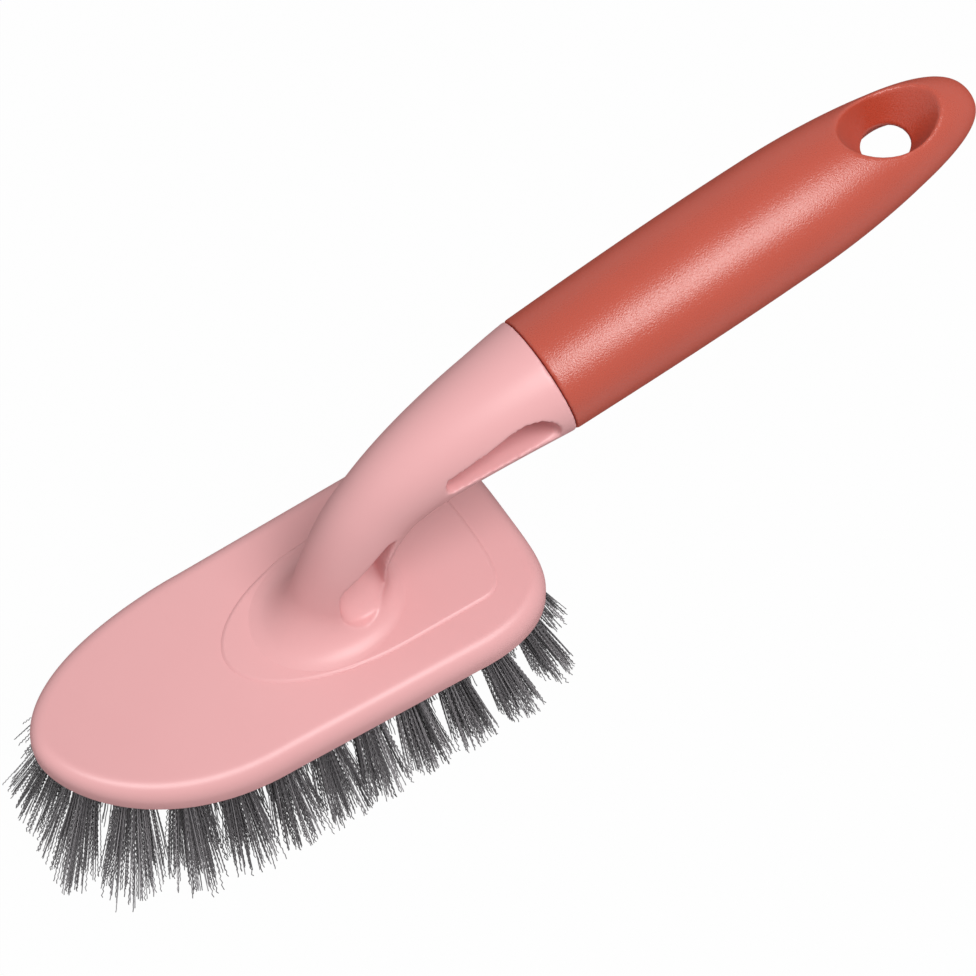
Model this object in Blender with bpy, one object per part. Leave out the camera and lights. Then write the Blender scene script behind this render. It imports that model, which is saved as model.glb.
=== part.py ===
"""Cleaning brush with a raised handle.

The head, the neck and the tang inside the handle are one moulding. A hollow grip
is pushed over the tang, and each tuft of bristles stands in a drilled hole of its own.
X runs from the nose to the end of the handle, Y across the brush and Z up.
All lengths are in metres and all angles in radians.
"""
import itertools
import math
import random

import bpy
import bmesh
from mathutils import Vector

# Gaps, overlaps and counts
fit_gap = 0.0003
cut_overrun = 0.0025
join_overlap = 0.004
nose_steps = 9
side_steps = 3
heel_steps = 8
oval_sides = 32
rim_round_steps = 6
smooth_angle = math.radians(40.0)
corner_steps = 4
arc_edge_share = 0.99

# Head plate
head_length = 0.1393
head_thickness = 0.0092
nose_run = 0.056
nose_half_width = 0.0317
nose_length_power = 2.1
nose_width_power = 1.8
heel_run = 0.0270
heel_half_width = 0.0335
heel_length_power = 2.2
heel_width_power = 4.1
nose_lift = 0.0112
nose_lift_margin = 0.0050

# Rim of the head plate
lower_edge_bevel = 0.0006
rim_round_width = 0.0046
rim_round_drop = 0.0056

# Flat island that surrounds the neck
island_height = 0.0005
island_edge = 0.0004
island_front_reach = 0.0295
island_rear_margin = 0.0120
island_half_width = 0.0205
island_nose_share = 0.58
island_heel_share = 0.125
island_heel_power = 3.0

# Neck
neck_setback = 0.0565
neck_lean = math.radians(68.0)
neck_root_pull = 0.0369
neck_seam_pull = 0.0554
neck_root_half_width = 0.0100
neck_root_half_depth = 0.0120
neck_waist_half_depth = 0.0117
neck_swell_start_share = 0.5
neck_swell_power = 1.5
root_flare_reach = 0.0085
root_flare_height = 0.0095
root_level_share = 0.22
flare_shares = (0.0, 0.008, 0.018, 0.031, 0.048, 0.068, 0.095, 0.125)
neck_shares = (0.17, 0.22, 0.28, 0.34, 0.40, 0.46, 0.52, 0.58, 0.66, 0.75, 0.85, 0.93, 1.0)
root_rear_growth = 0.0052
root_rear_height = 0.0200

# Seam between neck and grip, and the line of the handle
seam_run = 0.0660
seam_height = 0.0553
seam_half_width = 0.0163
seam_half_depth = 0.0148
handle_start_angle = math.radians(11.0)
handle_end_angle = math.radians(10.0)

# Grip
grip_length = 0.1317
grip_swell = 0.0009
grip_swell_share = 0.82
grip_end_share = 0.44
grip_end_length_power = 1.9
grip_end_width_power = 2.7
grip_end_thinning_share = 0.054
grip_end_drop = 0.0013
grip_end_drop_power = 6
grip_end_steps = 9
grip_tip_step_share = 0.15
grip_body_shares = (0.09, 0.18, 0.27, 0.36, 0.44, 0.50)
grip_wall = 0.0026
cavity_body_shares = (0.12, 0.24, 0.36, 0.48, 0.57)
cavity_end_share = 0.655

# Hanging hole
hole_place_share = 0.803
hole_waist_half_length = 0.0064
hole_waist_half_width = 0.0062
hole_land_half_height = 0.0005
hole_dish_shift = 0.0031
hole_dish_growth_length = 0.0093
hole_dish_growth_width = 0.0057
hole_dish_power = 0.90
hole_ring_shares = (-1.35, -1.0, -0.62, -0.28, -0.0, 0.0, 0.12, 0.28, 0.62, 1.0, 1.35)

# Tang inside the grip
spigot_length = 0.014
tang_end_share = 0.62
tang_collar_share = 0.34
tang_collar_length = 0.005
tang_half_width = 0.0058
tang_half_depth = 0.0040

# Pocket in each side of the neck's root
pocket_web = 0.0040
pocket_lip = 0.0004
pocket_front_offset = 0.0002
pocket_rear_offset = 0.0146
pocket_bottom = 0.0032
pocket_shoulder = 0.0180
pocket_knee = 0.0230
pocket_tip_offset = 0.0186
pocket_tip_height = 0.0364
pocket_low_radius = 0.0066
pocket_shoulder_radius = 0.0100
pocket_knee_radius = 0.0140
pocket_tip_radius = 0.0012
pocket_floor_rise = 0.0090
pocket_floor_radius = 0.0021
pocket_draft = 0.0012
pocket_front_draft = 0.0024

# Scoop in each side of the neck beside the grip
scoop_front_offset = 0.0346
scoop_rear_offset = 0.0038
scoop_crown_offset = 0.0126
scoop_front_low_drop = 0.0105
scoop_front_high_drop = 0.0049
scoop_rear_low_drop = 0.0032
scoop_rear_high_rise = 0.0050
scoop_depth = 0.0064
scoop_lip = 0.0026
scoop_draft = 0.0010
scoop_floor_rise = 0.0016
scoop_nose_radius = 0.0022
scoop_lip_radius = 0.0012
scoop_floor_radius = 0.0028
scoop_rear_radius = 0.0070
scoop_crown_radius = 0.0060

# Bristles
bristle_reach = 0.0288
tuft_hole_radius = 0.0031
tuft_hole_depth = 0.0062
tuft_proud = 0.0005
rim_tuft_pairs = 12
rim_tuft_inset = 0.0074
inner_row_spacing = 0.0127
inner_row_tufts = 8
inner_row_start = 0.0370
inner_row_rear_margin = 0.0208
middle_row_start = 0.0212
middle_row_rear_margin = 0.0203
strands_per_tuft = 8
tuft_seed_step = 1000
strand_keep_share = 0.62
strand_taper_share = 0.62
tuft_flare_share = 0.3832
tuft_flare_spread_share = 0.14
tuft_turn_share = 0.12
nose_splay = math.radians(30.0)
side_splay = math.radians(21.5)
splay_centre_share = 0.505
nose_splay_power = 2.3
side_splay_power = 0.75

# Colours and finishes
head_colour = (0.80, 0.43, 0.44, 1.0)
grip_colour = (0.55, 0.12, 0.08, 1.0)
bristle_colour = (0.13, 0.12, 0.13, 1.0)
head_roughness = 0.38
grip_roughness = 0.55
bristle_roughness = 0.45

# Places that follow from the lengths above
stand_height = bristle_reach + head_thickness
neck_root_x = head_length - neck_setback
seam_x = neck_root_x + seam_run
island_front = neck_root_x - island_front_reach
island_rear = head_length - island_rear_margin
nose_lift_run = island_front - nose_lift_margin
pocket_front = neck_root_x + pocket_front_offset
pocket_rear = neck_root_x + pocket_rear_offset
pocket_tip_x = neck_root_x + pocket_tip_offset
scoop_front = seam_x - scoop_front_offset
scoop_rear = seam_x - scoop_rear_offset
scoop_crown = seam_x - scoop_crown_offset
scoop_front_low = seam_height - scoop_front_low_drop
scoop_front_high = seam_height - scoop_front_high_drop
scoop_rear_low = seam_height - scoop_rear_low_drop
scoop_rear_high = seam_height + scoop_rear_high_rise
inner_row_end = head_length - inner_row_rear_margin
middle_row_end = head_length - middle_row_rear_margin


def clear_scene():
    """Remove whatever the file holds, so that the brush is built on its own."""
    for item in list(bpy.data.objects):
        bpy.data.objects.remove(item, do_unlink=True)


def make_material(name, colour, roughness):
    """One plain plastic material."""
    material = bpy.data.materials.new(name)
    material.use_nodes = True
    shader = material.node_tree.nodes["Principled BSDF"]
    shader.inputs["Base Color"].default_value = colour
    shader.inputs["Roughness"].default_value = roughness
    shader.inputs["Metallic"].default_value = 0.0
    return material


def make_object(name, points, faces, material=None):
    """Mesh object with its faces turned outwards and round parts shaded smooth."""
    mesh = bpy.data.meshes.new(name)
    mesh.from_pydata([tuple(point) for point in points], [], faces)
    work = bmesh.new()
    work.from_mesh(mesh)
    bmesh.ops.recalc_face_normals(work, faces=work.faces)
    work.to_mesh(mesh)
    work.free()
    mesh.shade_smooth()
    mesh.set_sharp_from_angle(angle=smooth_angle)
    item = bpy.data.objects.new(name, mesh)
    bpy.context.scene.collection.objects.link(item)
    if material:
        mesh.materials.append(material)
    return item


def loft(name, rings, material=None):
    """Closed skin through rings of equal count, with a flat face on each end."""
    count = len(rings[0])
    points = [point for ring in rings for point in ring]
    faces = []
    for row in range(len(rings) - 1):
        low = row * count
        high = low + count
        for k in range(count):
            after = (k + 1) % count
            faces.append((low + k, low + after, high + after, high + k))
    faces.append(tuple(range(count)))
    faces.append(tuple(len(points) - count + k for k in range(count)))
    return make_object(name, points, faces, material)


def boolean(body, tool, operation):
    """Apply one exact Boolean to the body and remove the tool."""
    tool.hide_render = True
    tool.display_type = "WIRE"
    step = body.modifiers.new(operation.lower(), "BOOLEAN")
    step.operation = operation
    step.solver = "EXACT"
    step.object = tool
    bpy.context.view_layer.update()
    graph = bpy.context.evaluated_depsgraph_get()
    mesh = bpy.data.meshes.new_from_object(body.evaluated_get(graph))
    body.modifiers.clear()
    body.data = mesh
    bpy.data.objects.remove(tool, do_unlink=True)


def blend(start, end, share):
    """Value between start and end."""
    return start + (end - start) * share


# Outline of the head plate
def nose_lift_at(x):
    """Height by which the upturned nose raises the plate at x."""
    return nose_lift * max(0.0, 1.0 - x / nose_lift_run) ** 2


def nose_points():
    """Round nose as a quarter of a superellipse."""
    points = []
    for step in range(nose_steps + 1):
        angle = math.pi / 2 * step / nose_steps
        x = nose_run * (1.0 - math.cos(angle) ** (2.0 / nose_length_power))
        y = nose_half_width * math.sin(angle) ** (2.0 / nose_width_power)
        points.append((x, y))
    return points


def heel_points():
    """Blunt heel as a quarter of a squarer superellipse."""
    start = head_length - heel_run
    points = []
    for step in range(heel_steps + 1):
        angle = math.pi / 2 * step / heel_steps
        x = start + heel_run * math.sin(angle) ** (2.0 / heel_length_power)
        y = heel_half_width * max(0.0, math.cos(angle)) ** (2.0 / heel_width_power)
        points.append((x, y))
    points[-1] = (head_length, 0.0)
    return points


def half_outline():
    """The +Y half of the outline, from the nose tip to the middle of the heel."""
    nose = nose_points()
    heel = heel_points()
    sides = []
    for step in range(1, side_steps):
        share = step / side_steps
        sides.append((blend(nose[-1][0], heel[0][0], share), blend(nose[-1][1], heel[0][1], share)))
    return nose + sides + heel


def whole_outline():
    """Closed outline, from the nose tip along +Y to the heel and back along -Y."""
    half = half_outline()
    return half + [(x, -y) for x, y in reversed(half[1:-1])]


def inset_outline(outline, inset):
    """Outline moved inwards by a distance."""
    moved = []
    count = len(outline)
    for k in range(count):
        before = Vector(outline[k - 1])
        after = Vector(outline[(k + 1) % count])
        along = (after - before).normalized()
        inward = Vector((along.y, -along.x))
        moved.append(Vector(outline[k]) + inward * inset)
    return moved


def rim_profile():
    """Inset and height of each ring of the plate, from the underside to the flat top."""
    profile = [(lower_edge_bevel, -head_thickness), (0.0, lower_edge_bevel - head_thickness)]
    for step in range(rim_round_steps + 1):
        angle = math.pi / 2 * step / rim_round_steps
        inset = rim_round_width * (1.0 - math.cos(angle))
        profile.append((inset, rim_round_drop * (math.sin(angle) - 1.0)))
    return profile


def mirrored_cap(first, count):
    """Strips that close a ring whose halves mirror each other across the X axis."""
    half = count // 2
    strips = [(first, first + 1, first + count - 1)]
    for k in range(1, half - 1):
        strips.append((first + k, first + k + 1, first + count - k - 1, first + count - k))
    strips.append((first + half - 1, first + half, first + half + 1))
    return strips


def head_plate(material):
    """Plate with an upturned nose, a broadly rounded rim and a flat top."""
    outline = whole_outline()
    count = len(outline)
    points = []
    for inset, height in rim_profile():
        for spot in inset_outline(outline, inset):
            points.append(Vector((spot.x, spot.y, stand_height + height + nose_lift_at(spot.x))))
    rings = len(points) // count
    faces = []
    for ring in range(rings - 1):
        low = ring * count
        high = low + count
        for k in range(count):
            after = (k + 1) % count
            faces.append((low + k, low + after, high + after, high + k))
    faces += mirrored_cap(0, count)
    faces += mirrored_cap(len(points) - count, count)
    return make_object("brush_head", points, faces, material)


# Island around the neck
def island_ring(inset, height):
    """Rounded ring of the island, drawn in by the inset."""
    length = island_rear - island_front
    nose = length * island_nose_share
    heel = length * island_heel_share
    front = []
    for step in range(nose_steps + 1):
        angle = math.pi / 2 * step / nose_steps
        x = island_front + nose * (1.0 - math.cos(angle))
        front.append((x, island_half_width * math.sin(angle)))
    back = []
    for step in range(corner_steps * 2 + 1):
        angle = math.pi / 2 * step / (corner_steps * 2)
        x = island_rear - heel + heel * math.sin(angle) ** (2.0 / island_heel_power)
        y = island_half_width * max(0.0, math.cos(angle)) ** (2.0 / island_heel_power)
        back.append((x, y))
    back[-1] = (island_rear, 0.0)
    half = front + back
    outline = half + [(x, -y) for x, y in reversed(half[1:-1])]
    return [Vector((spot.x, spot.y, stand_height + height)) for spot in inset_outline(outline, inset)]


def island():
    """Low D-shaped step that the neck rises from."""
    rings = [
        island_ring(0.0, -join_overlap / 2),
        island_ring(0.0, island_height - island_edge),
        island_ring(island_edge, island_height),
    ]
    return loft("island", rings)


# Line of the neck and handle, in the XZ plane
def neck_place(share):
    """Centre of the neck and the angle of its line; share 0 is the root and 1 the seam."""
    root = Vector((neck_root_x, 0.0, stand_height))
    seam = Vector((seam_x, 0.0, stand_height + seam_height))
    rise = Vector((math.cos(neck_lean), 0.0, math.sin(neck_lean))) * neck_root_pull
    run = Vector((math.cos(handle_start_angle), 0.0, math.sin(handle_start_angle))) * neck_seam_pull
    a, b, c, d = root, root + rise, seam - run, seam
    rest = 1.0 - share
    centre = a * rest ** 3 + b * 3 * rest ** 2 * share + c * 3 * rest * share ** 2 + d * share ** 3
    pull = (b - a) * 3 * rest ** 2 + (c - b) * 6 * rest * share + (d - c) * 3 * share ** 2
    return centre, math.atan2(pull.z, pull.x)


def handle_place(share):
    """Centre of the grip and the angle of its line; share 0 is the seam and 1 the far end."""
    seam = Vector((seam_x, 0.0, stand_height + seam_height))
    first = Vector((math.cos(handle_start_angle), 0.0, math.sin(handle_start_angle)))
    last = Vector((math.cos(handle_end_angle), 0.0, math.sin(handle_end_angle)))
    middle = seam + first * grip_length / 2
    end = middle + last * grip_length / 2
    rest = 1.0 - share
    centre = seam * rest ** 2 + middle * 2 * rest * share + end * share ** 2
    if share < 0.0:
        centre = seam + first * grip_length * share
    pull = (middle - seam) * rest + (end - middle) * share
    return centre, math.atan2(pull.z, pull.x)


def oval_ring(centre, angle, half_width, half_depth):
    """Oval section; its plane faces along the given angle in the XZ plane."""
    across = Vector((0.0, 1.0, 0.0))
    up = Vector((-math.sin(angle), 0.0, math.cos(angle)))
    ring = []
    for k in range(oval_sides):
        turn = 2 * math.pi * k / oval_sides
        ring.append(centre + across * half_width * math.cos(turn) + up * half_depth * math.sin(turn))
    return ring


# Neck
def neck_ring(share):
    """Section of the neck, flared where it meets the head."""
    centre, angle = neck_place(share)
    swell = max(0.0, (share - neck_swell_start_share) / (1.0 - neck_swell_start_share)) ** neck_swell_power
    slim = min(1.0, share / neck_swell_start_share)
    width = blend(neck_root_half_width, seam_half_width, swell)
    depth = blend(neck_root_half_depth, neck_waist_half_depth, slim)
    depth = blend(depth, seam_half_depth, swell)
    height = max(0.0, centre.z - stand_height - island_height) / root_flare_height
    flare = 0.0
    if height < 1.0:
        flare = root_flare_reach * (1.0 - math.sqrt(1.0 - (1.0 - height) ** 2))
    level = max(0.0, 1.0 - share / root_level_share) ** 2
    angle = blend(angle, math.pi / 2, level)
    growth = root_rear_growth * max(0.0, 1.0 - height * root_flare_height / root_rear_height)
    forward = Vector((-math.sin(angle), 0.0, math.cos(angle)))
    centre = centre - forward * growth / 2
    return oval_ring(centre, angle, width + flare, depth + flare + growth / 2)


def neck_and_tang():
    """Neck, the spigot that fills the grip's mouth, and the tang with its collar."""
    rings = [neck_ring(share) for share in flare_shares + neck_shares]
    below = Vector((0.0, 0.0, -join_overlap))
    rings.insert(0, [point + below for point in rings[0]])
    spigot_end = spigot_length / grip_length
    collar_start = tang_collar_share
    collar_end = tang_collar_share + tang_collar_length / grip_length
    rings.append(cavity_ring(fit_gap / grip_length, fit_gap))
    rings.append(cavity_ring(spigot_end, fit_gap))
    rings.append(tang_ring(spigot_end))
    rings.append(tang_ring(collar_start))
    rings.append(cavity_ring(collar_start, fit_gap))
    rings.append(cavity_ring(collar_end, fit_gap))
    rings.append(tang_ring(collar_end))
    rings.append(tang_ring(tang_end_share))
    return loft("neck", rings)


def tang_ring(share):
    """Slim bar inside the grip."""
    centre, angle = handle_place(share)
    return oval_ring(centre, angle, tang_half_width, tang_half_depth)


def cavity_ring(share, gap):
    """Section of the grip's cavity, drawn in by the gap."""
    centre, angle = handle_place(share)
    width, depth = grip_half_size(share)
    return oval_ring(centre, angle, width - grip_wall - gap, depth - grip_wall - gap)


def rounded_corner(before, corner, after, reach):
    """Arc that replaces a corner of an outline, from reach before it to reach after it."""
    to_before = (before - corner).normalized()
    to_after = (after - corner).normalized()
    half_angle = to_before.angle(to_after) / 2
    middle = corner + (to_before + to_after).normalized() * (reach / math.cos(half_angle))
    start = corner + to_before * reach - middle
    end = corner + to_after * reach - middle
    turn = start.angle(end)
    arc = []
    for step in range(corner_steps + 1):
        share = step / corner_steps
        first = math.sin((1.0 - share) * turn) / math.sin(turn)
        second = math.sin(share * turn) / math.sin(turn)
        arc.append(middle + start * first + end * second)
    return arc


def rounded_outline(corners, radii):
    """Outline through corners, each with its own radius; arcs share an edge too short for both."""
    count = len(corners)
    reaches = []
    for k, corner in enumerate(corners):
        to_before = corners[k - 1] - corner
        to_after = corners[(k + 1) % count] - corner
        reaches.append(radii[k] / math.tan(to_before.angle(to_after) / 2))
    fits = []
    for k, corner in enumerate(corners):
        edge = (corners[(k + 1) % count] - corner).length
        fits.append(min(1.0, edge / (reaches[k] + reaches[(k + 1) % count])))
    outline = []
    for k, corner in enumerate(corners):
        reach = reaches[k] * min(fits[k - 1], fits[k]) * arc_edge_share
        outline += rounded_corner(corners[k - 1], corner, corners[(k + 1) % count], reach)
    return outline


def side_cutter(name, outer, inner, side, depths):
    """Cutter that enters one side of the neck along Y, straight at first and tapered further in."""
    rings = []
    for outline, y in zip((inner, outer, outer), depths):
        rings.append([Vector((spot.x, side * y, stand_height + spot.y)) for spot in outline])
    return loft(name, rings)


def pocket_outline(front_draft, draft, rise, low_radius):
    """Leaf-shaped outline of the root pocket, drawn in by the drafts; its floor is raised by rise."""
    corners = [
        Vector((pocket_front + front_draft, pocket_bottom + rise)),
        Vector((pocket_rear - draft, pocket_bottom + rise)),
        Vector((pocket_rear - draft, pocket_knee)),
        Vector((pocket_tip_x - draft, pocket_tip_height - draft)),
        Vector((pocket_front + front_draft, pocket_shoulder + draft)),
    ]
    radii = [
        low_radius,
        low_radius,
        pocket_knee_radius,
        pocket_tip_radius,
        pocket_shoulder_radius,
    ]
    return rounded_outline(corners, radii)


def root_pocket(side):
    """Leaf-shaped pocket that thins the root of the neck down to a central web."""
    outer = pocket_outline(0.0, 0.0, 0.0, pocket_low_radius)
    inner = pocket_outline(pocket_front_draft, pocket_draft, pocket_floor_rise, pocket_floor_radius)
    outer_y = neck_root_half_width + root_flare_reach + cut_overrun
    depths = (pocket_web / 2, neck_root_half_width - pocket_lip, outer_y)
    return side_cutter("root_pocket", outer, inner, side, depths)


def scoop_outline(draft, rise, lip_radius):
    """Wedge-shaped outline of the scoop, drawn in by the draft; its floor is raised by rise."""
    corners = [
        Vector((scoop_front + draft, scoop_front_low + rise)),
        Vector((scoop_rear - draft, scoop_rear_low + rise)),
        Vector((scoop_rear - draft, scoop_rear_high - draft)),
        Vector((scoop_crown, scoop_rear_high - draft)),
        Vector((scoop_front + draft, scoop_front_high)),
    ]
    radii = [
        scoop_nose_radius,
        lip_radius,
        scoop_rear_radius,
        scoop_crown_radius,
        scoop_nose_radius,
    ]
    return rounded_outline(corners, radii)


def grip_scoop(side):
    """Scoop beside the grip: deep under its upper edge, with a floor that slopes out and down."""
    outer = scoop_outline(0.0, 0.0, scoop_lip_radius)
    inner = scoop_outline(scoop_draft, scoop_floor_rise, scoop_floor_radius)
    depths = (
        seam_half_width - scoop_depth,
        seam_half_width - scoop_lip,
        seam_half_width + cut_overrun,
    )
    return side_cutter("grip_scoop", outer, inner, side, depths)


# Grip
def grip_half_size(share):
    """Half width and half depth of the grip; share 0 is the seam and 1 the far end."""
    body = max(0.0, math.sin(math.pi * min(1.0, max(0.0, share) / grip_swell_share)))
    width = seam_half_width + grip_swell * body
    thin = 1.0
    start = 1.0 - grip_end_share
    if share > start:
        run = min(1.0, (share - start) / grip_end_share)
        width *= max(0.0, 1.0 - run ** grip_end_length_power) ** (1.0 / grip_end_width_power)
        thin -= grip_end_thinning_share * run ** grip_end_drop_power
    return width, width * thin * seam_half_depth / seam_half_width


def grip_ring(share):
    """Outer section of the grip; the line of its round end drops a little."""
    centre, angle = handle_place(share)
    width, depth = grip_half_size(share)
    run = max(0.0, share - 1.0 + grip_end_share) / grip_end_share
    centre.z -= grip_end_drop * run ** grip_end_drop_power
    return oval_ring(centre, angle, width, depth)


def grip_shares():
    """Places of the grip's sections, closer together towards its round end."""
    start = 1.0 - grip_end_share
    last_angle = math.pi / 2 * (1.0 - grip_tip_step_share / grip_end_steps)
    ends = []
    for step in range(grip_end_steps + 1):
        angle = last_angle * step / grip_end_steps
        ends.append(start + grip_end_share * math.sin(angle) ** (2.0 / grip_end_length_power))
    return [fit_gap / grip_length] + list(grip_body_shares) + ends


def grip_cavity():
    """Hollow that the tang fills, open at the seam and closed before the hanging hole."""
    shares = [-cut_overrun / grip_length] + list(cavity_body_shares) + [cavity_end_share]
    return loft("grip_cavity", [cavity_ring(share, 0.0) for share in shares])


def hanging_hole():
    """Cutter for the hanging hole: a short straight land with a dish on each side."""
    centre, angle = handle_place(hole_place_share)
    depth = grip_half_size(hole_place_share)[1]
    along = Vector((math.cos(angle), 0.0, math.sin(angle)))
    across = Vector((0.0, 1.0, 0.0))
    up = Vector((-math.sin(angle), 0.0, math.cos(angle)))
    rings = []
    for share in hole_ring_shares:
        grow = abs(share) ** hole_dish_power
        land = math.copysign(hole_land_half_height, share)
        height = land + (depth - hole_land_half_height) * share
        length = hole_waist_half_length + hole_dish_growth_length * grow
        width = hole_waist_half_width + hole_dish_growth_width * grow
        ring = []
        for k in range(oval_sides):
            turn = 2 * math.pi * k / oval_sides
            spot = along * length * math.cos(turn) + across * width * math.sin(turn)
            ring.append(centre + spot + along * hole_dish_shift * abs(share) + up * height)
        rings.append(ring)
    return loft("hanging_hole", rings)


def make_grip(material):
    """Hollow grip with its hanging hole."""
    grip = loft("grip", [grip_ring(share) for share in grip_shares()], material)
    boolean(grip, grip_cavity(), "DIFFERENCE")
    boolean(grip, hanging_hole(), "DIFFERENCE")
    return grip


# Bristles
def rim_tuft_spots():
    """Tufts at an equal pitch along a line inside the rim: pairs from the nose on, and one at the heel."""
    line = inset_outline(whole_outline(), rim_tuft_inset)
    line.append(line[0])
    lengths = [(line[k + 1] - line[k]).length for k in range(len(line) - 1)]
    pitch = sum(lengths) / (2 * rim_tuft_pairs + 1)
    spots = []
    for tuft in range(rim_tuft_pairs + 1):
        left = pitch * (tuft + 0.5)
        k = 0
        while k < len(lengths) - 1 and left > lengths[k]:
            left -= lengths[k]
            k += 1
        spots.append(line[k].lerp(line[k + 1], left / lengths[k]))
    spots[-1].y = 0.0
    return spots + [Vector((spot.x, -spot.y)) for spot in spots[:-1]]


def inner_tuft_spots():
    """Three straight rows inside the rim's tufts."""
    spots = []
    rows = (
        (0.0, middle_row_start, middle_row_end),
        (inner_row_spacing, inner_row_start, inner_row_end),
        (-inner_row_spacing, inner_row_start, inner_row_end),
    )
    for y, start, end in rows:
        for tuft in range(inner_row_tufts):
            spots.append(Vector((blend(start, end, tuft / (inner_row_tufts - 1)), y)))
    return spots


def tuft_flare(spots):
    """How far strands lean out of their tuft: a share of the distance between the closest tufts."""
    pairs = itertools.combinations(spots, 2)
    return tuft_flare_share * min((one - other).length for one, other in pairs)


def tuft_line(spot):
    """Mouth of a tuft's hole and the direction in which its bristles leave the head."""
    centre_x = head_length * splay_centre_share
    reach = max(centre_x, head_length - centre_x)
    along = (spot.x - centre_x) / reach
    slope_x = math.tan(nose_splay) * math.copysign(abs(along) ** nose_splay_power, along)
    aside = abs(spot.y) / (heel_half_width - rim_tuft_inset)
    slope_y = math.tan(side_splay) * math.copysign(aside ** side_splay_power, spot.y)
    mouth = Vector((spot.x, spot.y, bristle_reach + nose_lift_at(spot.x)))
    return mouth, Vector((slope_x, slope_y, -1.0)).normalized()


def round_ring(centre, line, radius, count, first_turn):
    """Ring square to a line."""
    side = line.cross(Vector((1.0, 0.0, 0.0))).normalized()
    other = line.cross(side)
    ring = []
    for k in range(count):
        turn = first_turn + 2 * math.pi * k / count
        ring.append(centre + side * radius * math.cos(turn) + other * radius * math.sin(turn))
    return ring


def tuft_hole(spot):
    """Cutter for one drilled hole."""
    mouth, line = tuft_line(spot)
    first_turn = math.pi / strands_per_tuft
    rings = []
    for depth in (-cut_overrun, tuft_hole_depth):
        centre = mouth - line * depth
        rings.append(round_ring(centre, line, tuft_hole_radius, strands_per_tuft, first_turn))
    return rings


def tuft_holes(spots):
    """All the drilled holes as one cutter."""
    points = []
    faces = []
    count = strands_per_tuft
    for spot in spots:
        first = len(points)
        for ring in tuft_hole(spot):
            points += ring
        for k in range(count):
            after = (k + 1) % count
            faces.append((first + k, first + after, first + count + after, first + count + k))
        faces.append(tuple(first + k for k in range(count)))
        faces.append(tuple(first + count + k for k in range(count)))
    return make_object("tuft_holes", points, faces)


def tuft_points(spot, flare, chance):
    """Points and faces of one tuft: a root plug with tapered strands that end on the ground."""
    mouth, line = tuft_line(spot)
    count = strands_per_tuft
    radius = tuft_hole_radius - fit_gap
    first_turn = math.pi / count
    top = round_ring(mouth - line * (tuft_hole_depth - fit_gap), line, radius, count, first_turn)
    bottom_centre = mouth + line * tuft_proud
    bottom = round_ring(bottom_centre, line, radius, count, first_turn)
    ground = mouth + line * (mouth.z / -line.z)
    points = top + bottom + [bottom_centre]
    faces = [tuple(range(count))]
    for k in range(count):
        after = (k + 1) % count
        faces.append((k, after, count + after, count + k))
        wedge = (count + k, count + after, 2 * count)
        middle = sum((points[i] for i in wedge), Vector()) / 3
        root = [middle + (points[i] - middle) * strand_keep_share for i in wedge]
        out = Vector((middle.x - bottom_centre.x, middle.y - bottom_centre.y, 0.0)).normalized()
        side = Vector((-out.y, out.x, 0.0))
        reach = flare * (1.0 + chance.uniform(-1.0, 1.0) * tuft_flare_spread_share)
        turn = flare * chance.uniform(-1.0, 1.0) * tuft_turn_share
        tip_middle = ground + out * reach + side * turn
        tip = []
        for spot_on_root in root:
            offset = (spot_on_root - middle) * strand_taper_share
            tip.append(Vector((tip_middle.x + offset.x, tip_middle.y + offset.y, 0.0)))
        start = len(points)
        points += root + tip
        for i in range(3):
            j = (i + 1) % 3
            faces.append((wedge[i], wedge[j], start + j, start + i))
            faces.append((start + i, start + j, start + 3 + j, start + 3 + i))
        faces.append((start + 3, start + 4, start + 5))
    return points, faces


def make_tuft(number, spot, flare, material):
    """One tuft; tufts on the -Y side mirror those on the +Y side."""
    chance = random.Random(round(spot.x / fit_gap) * tuft_seed_step + round(abs(spot.y) / fit_gap))
    points, faces = tuft_points(Vector((spot.x, abs(spot.y))), flare, chance)
    if spot.y < 0.0:
        points = [Vector((point.x, -point.y, point.z)) for point in points]
    return make_object(f"bristle_tuft_{number:02d}", points, faces, material)


# Assembly
def make_head(spots, material):
    """Head, neck and tang as one moulding, with its pockets and drilled holes."""
    head = head_plate(material)
    boolean(head, island(), "UNION")
    boolean(head, neck_and_tang(), "UNION")
    for side in (1, -1):
        boolean(head, root_pocket(side), "DIFFERENCE")
        boolean(head, grip_scoop(side), "DIFFERENCE")
    boolean(head, tuft_holes(spots), "DIFFERENCE")
    return head


def stand_on_origin(items):
    """Move the brush so that the origin lies under the middle of its length and width."""
    corners = [item.matrix_world @ vertex.co for item in items for vertex in item.data.vertices]
    low_x = min(corner.x for corner in corners)
    high_x = max(corner.x for corner in corners)
    middle = (low_x + high_x) / 2
    for item in items:
        for vertex in item.data.vertices:
            vertex.co.x -= middle
        item.data.update()
    print(f"nose tip lies at x = {-middle:.5f}")
    print(f"length {high_x - low_x:.4f}")


def main():
    """Build the whole brush."""
    clear_scene()
    head_plastic = make_material("head_plastic", head_colour, head_roughness)
    grip_rubber = make_material("grip_rubber", grip_colour, grip_roughness)
    bristle_fibre = make_material("bristle_fibre", bristle_colour, bristle_roughness)
    spots = rim_tuft_spots() + inner_tuft_spots()
    flare = tuft_flare(spots)
    items = [make_head(spots, head_plastic), make_grip(grip_rubber)]
    for number, spot in enumerate(spots, start=1):
        items.append(make_tuft(number, spot, flare, bristle_fibre))
    stand_on_origin(items)


main()
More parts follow.
